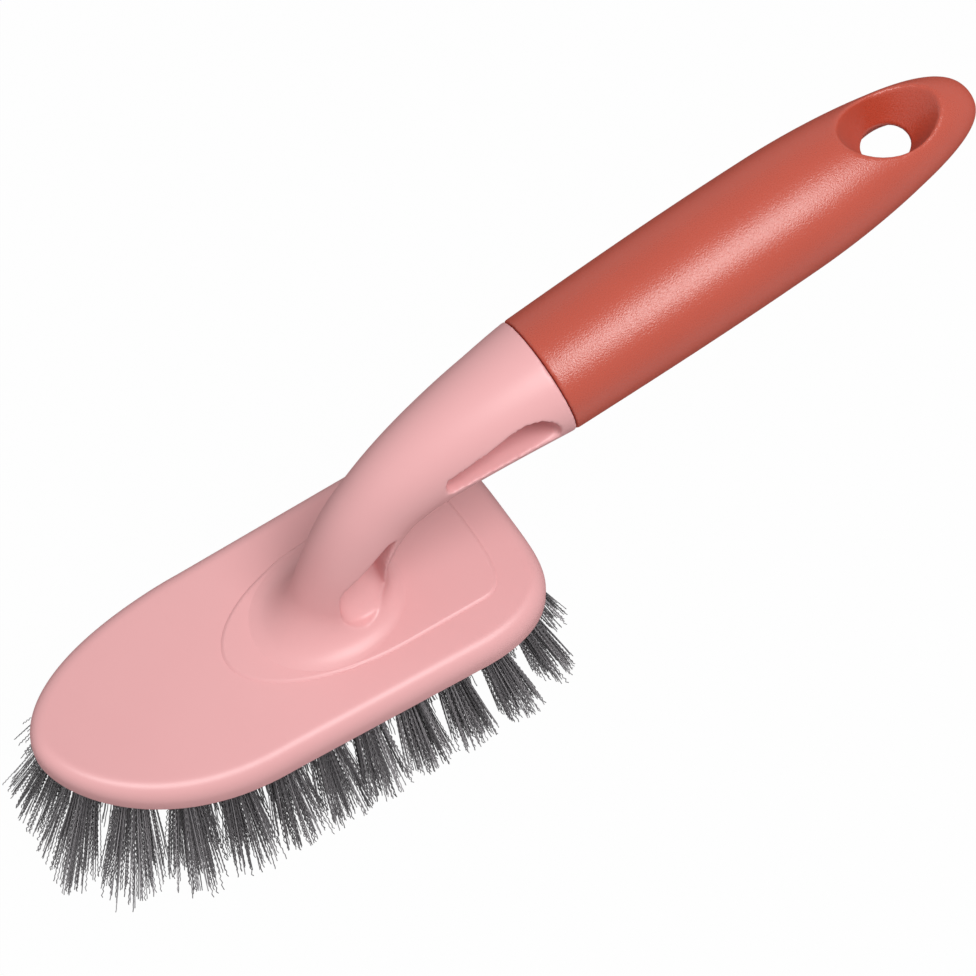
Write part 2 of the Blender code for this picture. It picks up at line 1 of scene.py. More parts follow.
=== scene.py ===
# %% [markdown]
# # A cleaning brush, dressed over its CAD frame
# The real brush has a pink moulded head whose neck grows out of it in one piece, a terracotta
# grip pushed over the end of that neck, and forty-nine tufts of grey crimped bristles.
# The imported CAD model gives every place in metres, so this lesson only adds finer shapes and finishes.
# Lengths are in metres and angles in radians, here and in all the cells below.
# Nothing here moves on the real brush, so every piece rides on the one body, root.

import math

import bmesh
import bpy
import numpy as np
from mathutils import Matrix, Vector


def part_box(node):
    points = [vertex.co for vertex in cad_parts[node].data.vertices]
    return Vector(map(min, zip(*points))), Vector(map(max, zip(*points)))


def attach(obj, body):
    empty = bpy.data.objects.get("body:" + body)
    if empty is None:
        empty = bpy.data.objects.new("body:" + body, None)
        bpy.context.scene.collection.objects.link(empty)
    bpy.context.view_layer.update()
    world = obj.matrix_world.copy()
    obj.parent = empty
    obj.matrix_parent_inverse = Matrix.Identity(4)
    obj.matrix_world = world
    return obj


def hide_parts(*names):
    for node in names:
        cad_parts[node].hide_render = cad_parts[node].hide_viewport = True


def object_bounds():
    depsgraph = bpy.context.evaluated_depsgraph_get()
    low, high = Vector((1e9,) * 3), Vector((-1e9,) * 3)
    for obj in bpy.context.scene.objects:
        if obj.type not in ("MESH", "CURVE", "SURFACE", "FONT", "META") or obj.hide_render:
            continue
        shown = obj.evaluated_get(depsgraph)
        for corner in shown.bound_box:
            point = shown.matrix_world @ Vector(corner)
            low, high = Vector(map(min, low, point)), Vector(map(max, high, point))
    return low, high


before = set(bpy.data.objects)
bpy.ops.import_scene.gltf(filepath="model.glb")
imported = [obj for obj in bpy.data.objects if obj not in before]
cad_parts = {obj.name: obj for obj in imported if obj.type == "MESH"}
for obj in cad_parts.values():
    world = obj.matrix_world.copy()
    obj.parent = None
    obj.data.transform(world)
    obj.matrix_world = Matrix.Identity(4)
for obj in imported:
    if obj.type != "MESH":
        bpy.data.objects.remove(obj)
cad_low, cad_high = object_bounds()
head_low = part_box("brush_head")[0]
plate_thickness = 0.0092
tip_x = head_low.x
top_z = head_low.z + plate_thickness
print(f"the CAD box is {(cad_high - cad_low) * 1000} mm")
print(f"the head stands {head_low.z * 1000:.1f} mm up")

# %% [markdown]
# ## Small helpers for meshes
# Most of the brush is a skin stretched over a row of rings, which modellers call a loft.
# The rings could also be drawn as curves and bevelled, but with rings in code each section can change
# its width, depth and tilt by a formula.
# A modifier is applied by reading the evaluated mesh back, which needs no selected object.


# %% Mesh helpers
relax_factor = 0.5


def blend(start, end, share):
    """Value between start and end."""
    return start + (end - start) * share


def new_piece(name, points, faces):
    """Smooth-shaded mesh object in the scene."""
    mesh = bpy.data.meshes.new(name)
    mesh.from_pydata([tuple(point) for point in points], [], faces)
    mesh.update()
    piece = bpy.data.objects.new(name, mesh)
    bpy.context.scene.collection.objects.link(piece)
    mesh.shade_smooth()
    return piece


def skin(rings):
    """Points and faces of a closed skin through rings of equal count."""
    count = len(rings[0])
    points = [point for ring in rings for point in ring]
    faces = []
    for row in range(len(rings) - 1):
        low, high = row * count, (row + 1) * count
        for k in range(count):
            after = (k + 1) % count
            faces.append((low + k, low + after, high + after, high + k))
    faces.append(tuple(reversed(range(count))))
    faces.append(tuple(len(points) - count + k for k in range(count)))
    return points, faces


def turned_outwards(piece):
    """The same piece with every face looking out."""
    work = bmesh.new()
    work.from_mesh(piece.data)
    bmesh.ops.recalc_face_normals(work, faces=work.faces)
    work.to_mesh(piece.data)
    work.free()
    return piece


def loft(name, rings):
    """Closed loft as a piece."""
    return turned_outwards(new_piece(name, *skin(rings)))


def settle(piece):
    """Apply the modifiers of a piece."""
    bpy.context.view_layer.update()
    graph = bpy.context.evaluated_depsgraph_get()
    piece.data = bpy.data.meshes.new_from_object(piece.evaluated_get(graph))
    piece.modifiers.clear()
    piece.data.shade_smooth()
    return piece


def carve(piece, cutter):
    """Cut one closed shape out of a piece."""
    cut = piece.modifiers.new("cut", "BOOLEAN")
    cut.operation = "DIFFERENCE"
    cut.solver = "EXACT"
    cut.object = cutter
    settle(piece)
    bpy.data.objects.remove(cutter, do_unlink=True)
    return piece


def soften(piece, grain, rounds):
    """Skin the piece anew in small even squares and relax them, which rounds every edge."""
    remesh = piece.modifiers.new("even skin", "REMESH")
    remesh.mode = "VOXEL"
    remesh.voxel_size = grain
    relax = piece.modifiers.new("relax", "SMOOTH")
    relax.factor = relax_factor
    relax.iterations = rounds
    return settle(piece)


# %% [markdown]
# ## The camera
# The photograph looks down on the brush from its near side, about 59 degrees up, with a long lens.
# The view could be set by eye. Here it was fitted to the outline of the brush, so that each edge of the
# model falls on the same edge of the photograph. The brush then fills a square frame of 976 by 976.

# %% Camera
view_azimuth = math.radians(-31.908)
view_elevation = math.radians(59.490)
view_roll = math.radians(-0.862)
view_distance = 0.600
lens_millimetres = 85.04
sensor_millimetres = 36.0
aim = Vector((tip_x + 0.13332, 0.0, top_z + 0.01482))


def looking_from(azimuth, elevation):
    """Unit vector from the brush towards a place around it."""
    level = math.cos(elevation)
    return Vector((math.sin(azimuth) * level, -math.cos(azimuth) * level, math.sin(elevation)))


back = looking_from(view_azimuth, view_elevation)
level_right = Vector((math.cos(view_azimuth), math.sin(view_azimuth), 0.0))
level_up = back.cross(level_right)
right = level_right * math.cos(view_roll) + level_up * math.sin(view_roll)
up = level_up * math.cos(view_roll) - level_right * math.sin(view_roll)
camera_data = bpy.data.cameras.new("photo_view")
camera_data.sensor_width = sensor_millimetres
camera_data.lens = lens_millimetres
camera = bpy.data.objects.new("photo_view", camera_data)
bpy.context.scene.collection.objects.link(camera)
turned = Matrix((right, up, back)).transposed().to_4x4()
camera.matrix_world = Matrix.Translation(aim + back * view_distance) @ turned
bpy.context.scene.camera = camera
print(f"the camera stands at {tuple(round(value, 3) for value in camera.location)}")

# %% [markdown]
# ## Light and floor
# One square soft box hangs over the near side of the handle. The highlights on the grip and the rim
# show where it hangs. A white sky adds a little more, brightest on the side of the nose and nearly dark
# behind the handle, as a large white card beside the brush would.
# More lamps would flatten the far side, which the photograph leaves dark.
# The floor and the sky look white to the camera and in reflections, yet light the brush no more than
# a grey table would, and the floor keeps a faint shadow.

# %% Soft box
key_azimuth = math.radians(14.0)
key_elevation = math.radians(64.6)
key_distance = 1.046
key_size = 0.60
key_power = 9.15
key_data = bpy.data.lights.new("soft_box", "AREA")
key_data.shape = "SQUARE"
key_data.size = key_size
key_data.energy = key_power
key = bpy.data.objects.new("soft_box", key_data)
bpy.context.scene.collection.objects.link(key)
key_away = looking_from(key_azimuth, key_elevation)
key.location = aim + key_away * key_distance
key.rotation_euler = key_away.to_track_quat("Z", "Y").to_euler()
print(f"the soft box hangs {key.location.z:.2f} m up")


# %% Node helper
def node(tree, kind, settings=None, **links):
    """Add a node, set its sockets by name, and wire outputs into it."""
    made = tree.nodes.new(kind)
    for name, value in (settings or {}).items():
        if name in made.inputs:
            made.inputs[name].default_value = value
        else:
            setattr(made, name, value)
    for name, source in links.items():
        tree.links.new(source, made.inputs[name.replace("_", " ")])
    return made


def white_rays(tree):
    """1 for the rays that should find plain white: seen, mirrored and let through."""
    path = node(tree, "ShaderNodeLightPath")
    most = path.outputs["Is Camera Ray"]
    for kind in ("Is Glossy Ray", "Is Transmission Ray"):
        larger = node(tree, "ShaderNodeMath", {"operation": "MAXIMUM"})
        tree.links.new(most, larger.inputs[0])
        tree.links.new(path.outputs[kind], larger.inputs[1])
        most = larger.outputs[0]
    return most


# %% White sky
near_sky_level = 0.58
far_sky_level = 0.02
near_way = (-0.92, -0.16, 0.35)
sky = bpy.data.worlds.new("white sky")
bpy.context.scene.world = sky
sky.use_nodes = True
tree = sky.node_tree
tree.nodes.clear()
way = node(tree, "ShaderNodeVectorMath", {"operation": "DOT_PRODUCT"})
tree.links.new(node(tree, "ShaderNodeTexCoord").outputs["Generated"], way.inputs[0])
way.inputs[1].default_value = near_way
levels = {"From Min": -1.0, "From Max": 1.0, "To Min": far_sky_level, "To Max": near_sky_level}
lit = node(tree, "ShaderNodeMapRange", levels, Value=way.outputs["Value"])
plain = white_rays(tree)
strength = node(tree, "ShaderNodeMapRange", {"To Max": 1.0}, Value=plain, To_Min=lit.outputs[0])
light = node(tree, "ShaderNodeBackground", {"Color": (1.0, 1.0, 1.0, 1.0)}, Strength=strength.outputs[0])
node(tree, "ShaderNodeOutputWorld", Surface=light.outputs[0])
print("white sky set")

# %% Floor
floor_half = 3.0
floor_drop = 0.0002
floor_white_share = 0.985
floor_grey = 0.38
floor_signs = [(-1, -1), (1, -1), (1, 1), (-1, 1)]
floor_corners = [(x * floor_half, y * floor_half, 0.0) for x, y in floor_signs]
floor = new_piece("floor", floor_corners, [(0, 1, 2, 3)])
floor.location.z = -floor_drop
floor_finish = bpy.data.materials.new("floor_white")
floor_finish.use_nodes = True
tree = floor_finish.node_tree
tree.nodes.clear()
plain = white_rays(tree)
share = node(tree, "ShaderNodeMapRange", {"To Min": 0.0, "To Max": floor_white_share}, Value=plain)
matt = node(tree, "ShaderNodeBsdfDiffuse", {"Color": (floor_grey, floor_grey, floor_grey, 1.0)})
glow = node(tree, "ShaderNodeEmission", {"Color": (1.0, 1.0, 1.0, 1.0), "Strength": 1.0})
mix = node(tree, "ShaderNodeMixShader")
tree.links.new(share.outputs[0], mix.inputs[0])
tree.links.new(matt.outputs[0], mix.inputs[1])
tree.links.new(glow.outputs[0], mix.inputs[2])
node(tree, "ShaderNodeOutputMaterial", Surface=mix.outputs[0])
floor.data.materials.append(floor_finish)
print("floor laid under the bristles")

# %% [markdown]
# ## Finishes
# The head is a satin polypropylene: one colour, with a gloss that varies a little where the mould wore.
# The grip is a soft rubber with a fine grain, which breaks its highlight into small sparks.
# Both could be a plain colour, but then they would look like paint. A noise on the roughness and a very
# low bump give them the skin of a moulded part. Seen at a flat angle both skins are matt, which keeps
# their edges from turning milky.


# %% Finish helpers
flat_view_start = 0.30
flat_view_end = 0.80
flat_view_roughness = 0.95
cloud_detail = 3.0
skin_detail = 2.0


def new_finish(name, roughness, gloss):
    """Material with its shader, and object coordinates for its patterns."""
    finish = bpy.data.materials.new(name)
    finish.use_nodes = True
    tree = finish.node_tree
    shader = tree.nodes["Principled BSDF"]
    shader.inputs["Roughness"].default_value = roughness
    shader.inputs["Specular IOR Level"].default_value = gloss
    place = node(tree, "ShaderNodeTexCoord").outputs["Object"]
    return finish, tree, shader, place


def speckle(tree, place, scale, detail):
    """Noise of a given grain; a scale of 1000 is a grain of about a millimetre."""
    made = node(tree, "ShaderNodeTexNoise", {"Scale": scale, "Detail": detail}, Vector=place)
    return made.outputs["Fac"]


def ramp(tree, value, low, high):
    """Value from 0 to 1, stretched from low to high."""
    return node(tree, "ShaderNodeMapRange", {"To Min": low, "To Max": high}, Value=value).outputs[0]


def two_tones(tree, value, first, second):
    """Colour between two tones; a colour mix has them as inputs 6 and 7 and the result as output 2."""
    mix = node(tree, "ShaderNodeMix", {"data_type": "RGBA"})
    tree.links.new(value, mix.inputs[0])
    mix.inputs[6].default_value = first
    mix.inputs[7].default_value = second
    return mix.outputs[2]


def satin(tree, shader, value, low, high):
    """Roughness from a pattern; at a flat angle the skin is rougher, so its edge stays dark."""
    facing = node(tree, "ShaderNodeLayerWeight", {"Blend": 0.5}).outputs["Facing"]
    limits = {"From Min": flat_view_start, "From Max": flat_view_end}
    flat = node(tree, "ShaderNodeMapRange", limits, Value=facing).outputs[0]
    straight = ramp(tree, value, low, high)
    roughest = {"To Max": flat_view_roughness}
    rough = node(tree, "ShaderNodeMapRange", roughest, Value=flat, To_Min=straight)
    tree.links.new(rough.outputs[0], shader.inputs["Roughness"])


def dimple(tree, shader, value, depth, strength):
    """Bump of a given depth in metres."""
    bump = node(tree, "ShaderNodeBump", {"Distance": depth, "Strength": strength}, Height=value)
    tree.links.new(bump.outputs[0], shader.inputs["Normal"])


# %% Pink plastic
pink_dark = (0.765, 0.388, 0.394, 1.0)
pink_light = (0.790, 0.411, 0.416, 1.0)
pink_gloss = 0.38
pink_smooth = 0.30
pink_rough = 0.38
pink_cloud_scale = 45.0
pink_sheen_scale = 320.0
pink_sheen_detail = 4.0
pink_skin_scale = 1800.0
pink_skin_depth = 0.000008
pink_skin_strength = 0.5
pink, tree, shader, place = new_finish("pink_plastic", pink_rough, pink_gloss)
cloud = speckle(tree, place, pink_cloud_scale, cloud_detail)
pink_tone = two_tones(tree, cloud, pink_dark, pink_light)
tree.links.new(pink_tone, shader.inputs["Base Color"])
sheen = speckle(tree, place, pink_sheen_scale, pink_sheen_detail)
satin(tree, shader, sheen, pink_smooth, pink_rough)
skin_noise = speckle(tree, place, pink_skin_scale, skin_detail)
dimple(tree, shader, skin_noise, pink_skin_depth, pink_skin_strength)
print("pink plastic mixed")

# %% Terracotta rubber
rubber_dark = (0.442, 0.056, 0.027, 1.0)
rubber_light = (0.476, 0.066, 0.034, 1.0)
rubber_gloss = 0.62
rubber_smooth = 0.18
rubber_rough = 0.38
rubber_cloud_scale = 60.0
rubber_grain_scale = 2600.0
rubber_sheen_detail = 3.0
rubber_grain_depth = 0.000090
rubber_grain_strength = 1.0
terracotta, tree, shader, place = new_finish("terracotta_rubber", rubber_rough, rubber_gloss)
cloud = speckle(tree, place, rubber_cloud_scale, cloud_detail)
rubber_tone = two_tones(tree, cloud, rubber_dark, rubber_light)
tree.links.new(rubber_tone, shader.inputs["Base Color"])
sheen = speckle(tree, place, rubber_grain_scale, rubber_sheen_detail)
satin(tree, shader, sheen, rubber_smooth, rubber_rough)
skin_noise = speckle(tree, place, rubber_grain_scale, skin_detail)
dimple(tree, shader, skin_noise, rubber_grain_depth, rubber_grain_strength)
print("terracotta rubber mixed")

# %% [markdown]
# ## The head plate
# The plate is one outline, drawn in again and again: out over the lower edge, up the side and over the
# broad round rim to the flat top. Near its tip the whole plate curls upwards.
# A bevel modifier could round the rim, but it would give one round radius. Here the round is deeper
# than it is wide, which gives the narrow highlight of the photograph.

# %% Outline of the plate
plate_length = 0.1393
nose_run = 0.056
nose_half_width = 0.0317
nose_powers = (2.1, 1.8)
heel_run = 0.0270
heel_half_width = 0.0335
heel_powers = (2.2, 4.1)
outline_half_count = 150
curve_count = 400


def spread_evenly(points, count):
    """The same line with its points at an equal pitch."""
    line = np.array(points)
    steps = np.hypot(*np.diff(line, axis=0).T)
    walked = np.concatenate([[0.0], np.cumsum(steps)])
    wanted = np.linspace(0.0, walked[-1], count + 1)
    return np.column_stack([np.interp(wanted, walked, line[:, way]) for way in (0, 1)])


def nose_curve(run, half_width, powers):
    """Quarter of a superellipse that leaves the centre line at x = 0."""
    angles = np.linspace(0.0, math.pi / 2, curve_count)
    x = run * (1.0 - np.cos(angles).clip(0.0) ** (2.0 / powers[0]))
    return np.column_stack([x, half_width * np.sin(angles) ** (2.0 / powers[1])])


def heel_curve(end_x, run, half_width, powers):
    """Quarter of a superellipse that comes back to the centre line at the end."""
    return (end_x, 0.0) + nose_curve(run, half_width, powers)[::-1] * (-1.0, 1.0)


def whole_line(half):
    """Half outline and its mirror image as one closed line."""
    return np.concatenate([half, half[-2:0:-1] * (1.0, -1.0)])


nose = nose_curve(nose_run, nose_half_width, nose_powers)
heel = heel_curve(plate_length, heel_run, heel_half_width, heel_powers)
plate_line = whole_line(spread_evenly(np.concatenate([nose, heel]), outline_half_count))
print(f"plate outline of {len(plate_line)} points")

# %% Plate
nose_lift = 0.0112
nose_lift_run = 0.0483
lower_bevel = 0.0006
lower_steps = 5
rim_width = 0.0046
rim_drop = 0.0056
rim_steps = 17
top_inset = 0.0008


def drawn_in(line, inset):
    """Closed line moved inwards."""
    along = np.roll(line, -1, axis=0) - np.roll(line, 1, axis=0)
    along /= np.linalg.norm(along, axis=1)[:, None]
    return line + np.column_stack([along[:, 1], -along[:, 0]]) * inset


def lift_at(x):
    """Height by which the nose curls up."""
    return nose_lift * max(0.0, 1.0 - x / nose_lift_run) ** 2


def crossing_strips(first, count):
    """Strips across a ring whose halves mirror each other."""
    half = count // 2
    strips = [(first, first + 1, first + count - 1)]
    for k in range(1, half - 1):
        strips.append((first + k, first + k + 1, first + count - k - 1, first + count - k))
    strips.append((first + half - 1, first + half, first + half + 1))
    return strips


def flat_topped(name, rings):
    """Closed loft whose two ends are strips, so that they stay smooth where they bend."""
    points, faces = skin(rings)
    count = len(rings[0])
    faces = faces[:-2] + crossing_strips(0, count) + crossing_strips(len(points) - count, count)
    return turned_outwards(new_piece(name, points, faces))


profile = []
for turn in np.linspace(0.0, math.pi / 2, lower_steps):
    inset = lower_bevel * (1 - math.sin(turn))
    profile.append((inset, lower_bevel * (1 - math.cos(turn)) - plate_thickness))
for turn in np.linspace(0.0, math.pi / 2, rim_steps):
    profile.append((rim_width * (1 - math.cos(turn)), rim_drop * (math.sin(turn) - 1.0)))
profile.append((rim_width + top_inset, 0.0))
plate_rings = []
for inset, height in profile:
    ring = drawn_in(plate_line, inset)
    plate_rings.append([Vector((tip_x + x, y, top_z + height + lift_at(x))) for x, y in ring])
plate = flat_topped("head_plate", plate_rings)
print(f"plate of {len(plate.data.polygons)} faces")

# %% [markdown]
# ## The island
# Round the root of the neck lies a D-shaped island, half a millimetre high, whose sloping edge shows as
# a thin bright line. It is lofted as it is, because a remesh would wash out so low a step.

# %% Island
root_x = 0.0828
island_height = 0.0005
island_edge = 0.0008
island_front = root_x - 0.0295
island_rear = plate_length - 0.0120
island_half_width = 0.0205
island_length = island_rear - island_front
island_sink = 0.0020
island_nose_run = island_length * 0.58
island_nose_powers = (2.0, 2.0)
island_heel_run = island_length * 0.125
island_heel_powers = (3.0, 3.0)
island_half_count = 120
island_nose = nose_curve(island_nose_run, island_half_width, island_nose_powers) + (island_front, 0.0)
island_heel = heel_curve(island_rear, island_heel_run, island_half_width, island_heel_powers)
island_line = whole_line(spread_evenly(np.concatenate([island_nose, island_heel]), island_half_count))
edge_steps = [(0.0, 0.0), (0.10, 0.14), (0.85, 0.92), (1.0, 1.0), (1.5, 1.0)]
island_profile = [(0.0, -island_sink)]
island_profile += [(inset * island_edge, height * island_height) for inset, height in edge_steps]
island_rings = []
for inset, height in island_profile:
    ring = drawn_in(island_line, inset)
    island_rings.append([Vector((tip_x + x, y, top_z + height)) for x, y in ring])
island = flat_topped("island", island_rings)
print(f"island {island_length * 1000:.1f} mm long")

# %% [markdown]
# ## The line of the neck and the handle
# Neck and handle follow one bent line: it leaves the plate leaning back, and bends over into the
# nearly level handle. A Bezier curve gives the neck, and a gentler one the handle, so that both
# meet at the seam without a kink.

# %% Line of neck and handle
seam_x = 0.1488
seam_height = 0.0553
neck_lean = math.radians(68.0)
root_pull = 0.0369
seam_pull = 0.0554
handle_start = math.radians(11.0)
handle_end = math.radians(10.0)
handle_length = 0.13165
across = Vector((0.0, 1.0, 0.0))


def heading(angle):
    """Unit vector in the plane of the brush."""
    return Vector((math.cos(angle), 0.0, math.sin(angle)))


def square_to(angle):
    """Unit vector in the plane of the brush, square to a heading."""
    return Vector((-math.sin(angle), 0.0, math.cos(angle)))


root = Vector((tip_x + root_x, 0.0, top_z))
seam = Vector((tip_x + seam_x, 0.0, top_z + seam_height))
print(f"the seam lies at {tuple(round(value, 4) for value in seam)}")


# %% Places along the line
def neck_place(share):
    """Centre and heading of the neck; share 0 is the root and 1 the seam."""
    leave = root + heading(neck_lean) * root_pull
    arrive = seam - heading(handle_start) * seam_pull
    rest = 1.0 - share
    centre = root * rest**3 + leave * 3 * rest**2 * share + arrive * 3 * rest * share**2 + seam * share**3
    pull = (leave - root) * rest**2 + (arrive - leave) * 2 * rest * share + (seam - arrive) * share**2
    return centre, math.atan2(pull.z, pull.x)


def handle_place(share):
    """Centre and heading of the handle; share 0 is the seam and 1 the far end."""
    middle = seam + heading(handle_start) * handle_length / 2
    end = middle + heading(handle_end) * handle_length / 2
    rest = 1.0 - share
    centre = seam * rest**2 + middle * 2 * rest * share + end * share**2
    if share < 0.0:
        centre = seam + heading(handle_start) * handle_length * share
    pull = (middle - seam) * rest + (end - middle) * share
    return centre, math.atan2(pull.z, pull.x)


# %% Oval section
oval_count = 120
oval_turns = [2 * math.pi * k / oval_count for k in range(oval_count)]


def oval(centre, angle, half_width, half_depth):
    """Oval section across a heading."""
    rise = square_to(angle)
    return [centre + across * half_width * math.cos(t) + rise * half_depth * math.sin(t) for t in oval_turns]


# %% [markdown]
# ## The neck and its fillet
# The neck swells from a slim waist to the width of the grip, and flares into the island with a fillet.
# It is one loft, which ends in a short spigot inside the mouth of the grip. The slim tang further in is
# a loft of its own, because nobody sees it and a fine skin would be wasted on it.
# The skirt of the fillet dips just under the island, so that the two skins meet without a step.

# %% Neck sections
seam_half_width = 0.0163
seam_half_depth = 0.0148
root_half_width = 0.0100
root_half_depth = 0.0120
waist_half_depth = 0.0117
swell_start = 0.5
swell_power = 1.5
flare_reach = 0.0085
flare_height = 0.0095
level_share = 0.22
rear_growth = 0.0052
rear_growth_height = 0.0200


def neck_section(share):
    """Section of the neck, flared where it meets the plate."""
    centre, angle = neck_place(share)
    swell = max(0.0, (share - swell_start) / (1.0 - swell_start)) ** swell_power
    width = blend(root_half_width, seam_half_width, swell)
    depth = blend(root_half_depth, waist_half_depth, min(1.0, share / swell_start))
    depth = blend(depth, seam_half_depth, swell)
    height = max(0.0, centre.z - top_z - island_height)
    rest = max(0.0, 1.0 - height / flare_height)
    flare = flare_reach * (1.0 - math.sqrt(1.0 - rest**2))
    angle = blend(angle, math.pi / 2, max(0.0, 1.0 - share / level_share) ** 2)
    growth = rear_growth * max(0.0, 1.0 - height / rear_growth_height)
    centre = centre - square_to(angle) * growth / 2
    return oval(centre, angle, width + flare, depth + flare + growth / 2)


# %% Grip sections
grip_swell = 0.0009
swell_length = 0.82
end_share = 0.44
end_powers = (1.9, 2.7)
end_thinning = 0.054
end_drop = 0.0013
late_power = 6
grip_wall = 0.0026
seam_gap = 0.0003


def end_run(share):
    """0 along the body of the grip, rising to 1 over its round end."""
    return min(1.0, max(0.0, share - 1.0 + end_share) / end_share)


def grip_half_size(share):
    """Half width and half depth of the grip."""
    belly = max(0.0, math.sin(math.pi * min(1.0, max(0.0, share) / swell_length)))
    run = end_run(share)
    closing = (1.0 - run ** end_powers[0]) ** (1.0 / end_powers[1])
    width = (seam_half_width + grip_swell * belly) * closing
    return width, width * (1.0 - end_thinning * run**late_power) * seam_half_depth / seam_half_width


def grip_section(share, inset=0.0):
    """Section of the grip; the round end drops a little."""
    centre, angle = handle_place(share)
    width, depth = grip_half_size(share)
    if not inset:
        centre.z -= end_drop * end_run(share) ** late_power
    return oval(centre, angle, width - inset, depth - inset)


# %% Neck
spigot_length = 0.014
skirt_reach = 0.0012
skirt_foot = 0.002
skirt_sink = 0.00004
skirt_dip = 0.00015
close_span = 0.30
close_count = 40
even_span = 0.70
even_count = 50
spigot_share = spigot_length / handle_length
inner_inset = grip_wall + seam_gap
island_level = top_z + island_height
grown_depth = root_half_depth + rear_growth / 2
neck_rings = []
for reach, dip in ((skirt_reach, skirt_foot), (skirt_reach, skirt_dip), (0.0, skirt_sink)):
    middle = Vector((root.x + rear_growth / 2, 0.0, island_level - dip))
    grown = flare_reach + reach
    neck_rings.append(oval(middle, math.pi / 2, root_half_width + grown, grown_depth + grown))
close_shares = [close_span * (k / close_count) ** 2 for k in range(close_count + 1)]
even_shares = [close_span + even_span * k / even_count for k in range(1, even_count + 1)]
for share in close_shares + even_shares:
    if neck_place(share)[0].z > island_level:
        ring = neck_section(share)
        neck_rings.append([Vector((p.x, p.y, max(p.z, island_level - skirt_sink))) for p in ring])
neck_rings.append(grip_section(seam_gap / handle_length, inner_inset))
neck_rings.append(grip_section(spigot_share, inner_inset))
neck = loft("neck", neck_rings)
print(f"neck of {len(neck_rings)} sections")

# %% Tang
tang_half_width = 0.0058
tang_half_depth = 0.0040
tang_sink = 0.001
tang_end_share = 0.62
collar_start = 0.34
collar_length = 0.005
collar_shares = (collar_start, collar_start + collar_length / handle_length)


def bar_section(share):
    """Slim tang inside the grip."""
    return oval(*handle_place(share), tang_half_width, tang_half_depth)


tang_rings = [bar_section(spigot_share - tang_sink / handle_length), bar_section(collar_shares[0])]
tang_rings += [grip_section(share, inner_inset) for share in collar_shares]
tang_rings += [bar_section(collar_shares[1]), bar_section(tang_end_share)]
tang = loft("tang", tang_rings)
print(f"tang of {len(tang_rings)} sections")

# %% [markdown]
# ## Pockets and scoops
# The root of the neck has a leaf-shaped pocket on each side, and a wedge-shaped scoop lies beside the
# grip. Mouldings have such hollows to keep the wall even. Each is cut with a stack of outlines. The
# floor of the pocket climbs as it goes inwards, like the side of a bowl. The floor of the scoop falls a
# little, and a chamfer on its lower lip catches the light as a thin line.
# Corners are arcs that share an edge when the edge is too short for both.


# %% Cutters
arc_steps = 10
arc_fill = 0.99


def arc_corner(before, corner, after, reach):
    """Arc in place of a corner."""
    to_before = (before - corner).normalized()
    to_after = (after - corner).normalized()
    half_opening = to_before.angle(to_after) / 2
    middle = corner + (to_before + to_after).normalized() * (reach / math.cos(half_opening))
    start = corner + to_before * reach - middle
    end = corner + to_after * reach - middle
    turn = start.angle(end)
    arc = []
    for step in range(arc_steps + 1):
        share = step / arc_steps
        mixed = start * math.sin((1 - share) * turn) + end * math.sin(share * turn)
        arc.append(middle + mixed / math.sin(turn))
    return arc


def arc_outline(corners, radii):
    """Closed line with an arc at each corner."""
    count = len(corners)
    reaches = []
    for k, corner in enumerate(corners):
        opening = (corners[k - 1] - corner).angle(corners[(k + 1) % count] - corner)
        reaches.append(radii[k] / math.tan(opening / 2))
    fits = []
    for k, corner in enumerate(corners):
        edge = (corners[(k + 1) % count] - corner).length
        fits.append(min(1.0, edge / (reaches[k] + reaches[(k + 1) % count])))
    line = []
    for k, corner in enumerate(corners):
        reach = reaches[k] * min(fits[k - 1], fits[k]) * arc_fill
        line += arc_corner(corners[k - 1], corner, corners[(k + 1) % count], reach)
    return line


def side_cutter(name, outlines, side):
    """Cutter that enters one side of the neck; each outline comes with its distance from the middle."""
    rings = []
    for line, depth in outlines:
        rings.append([Vector((tip_x + spot.x, side * depth, top_z + spot.y)) for spot in line])
    return loft(name, rings)


# %% Pockets in the root
pocket_front = root_x + 0.0002
pocket_rear = root_x + 0.0146
pocket_tip = root_x + 0.0186
pocket_bottom = 0.0032
pocket_front_top = 0.0180
pocket_rear_top = 0.0230
pocket_top = 0.0364
pocket_front_draft = 0.0024
pocket_draft = 0.0012
pocket_rise = 0.0150
pocket_rise_power = 1.45
pocket_mouth_radius = 0.0066
pocket_floor_radius = 0.0030
pocket_upper_radii = [0.0140, 0.0012, 0.0100]
pocket_web = 0.0030
pocket_rim_y = root_half_width - 0.0004
pocket_outside_y = root_half_width + flare_reach + 0.0025
bowl_steps = 10


def pocket_line(bowl):
    """Leaf shape of the pocket; bowl runs from 0 at its mouth to 1 at its floor."""
    front_draft = pocket_front_draft * bowl
    draft = pocket_draft * bowl
    rise = pocket_rise * bowl**pocket_rise_power
    low_radius = blend(pocket_mouth_radius, pocket_floor_radius, bowl)
    corners = [
        Vector((pocket_front + front_draft, pocket_bottom + rise)),
        Vector((pocket_rear - draft, pocket_bottom + rise)),
        Vector((pocket_rear - draft, pocket_rear_top)),
        Vector((pocket_tip - draft, pocket_top - draft)),
        Vector((pocket_front + front_draft, pocket_front_top + draft)),
    ]
    return arc_outline(corners, [low_radius, low_radius] + pocket_upper_radii)


pocket_outlines = [(pocket_line(0.0), pocket_outside_y)]
for step in range(bowl_steps + 1):
    share = step / bowl_steps
    pocket_outlines.append((pocket_line(share), blend(pocket_rim_y, pocket_web / 2, share)))
for side in (1, -1):
    carve(neck, side_cutter("root_pocket", pocket_outlines, side))
print("two pockets cut")

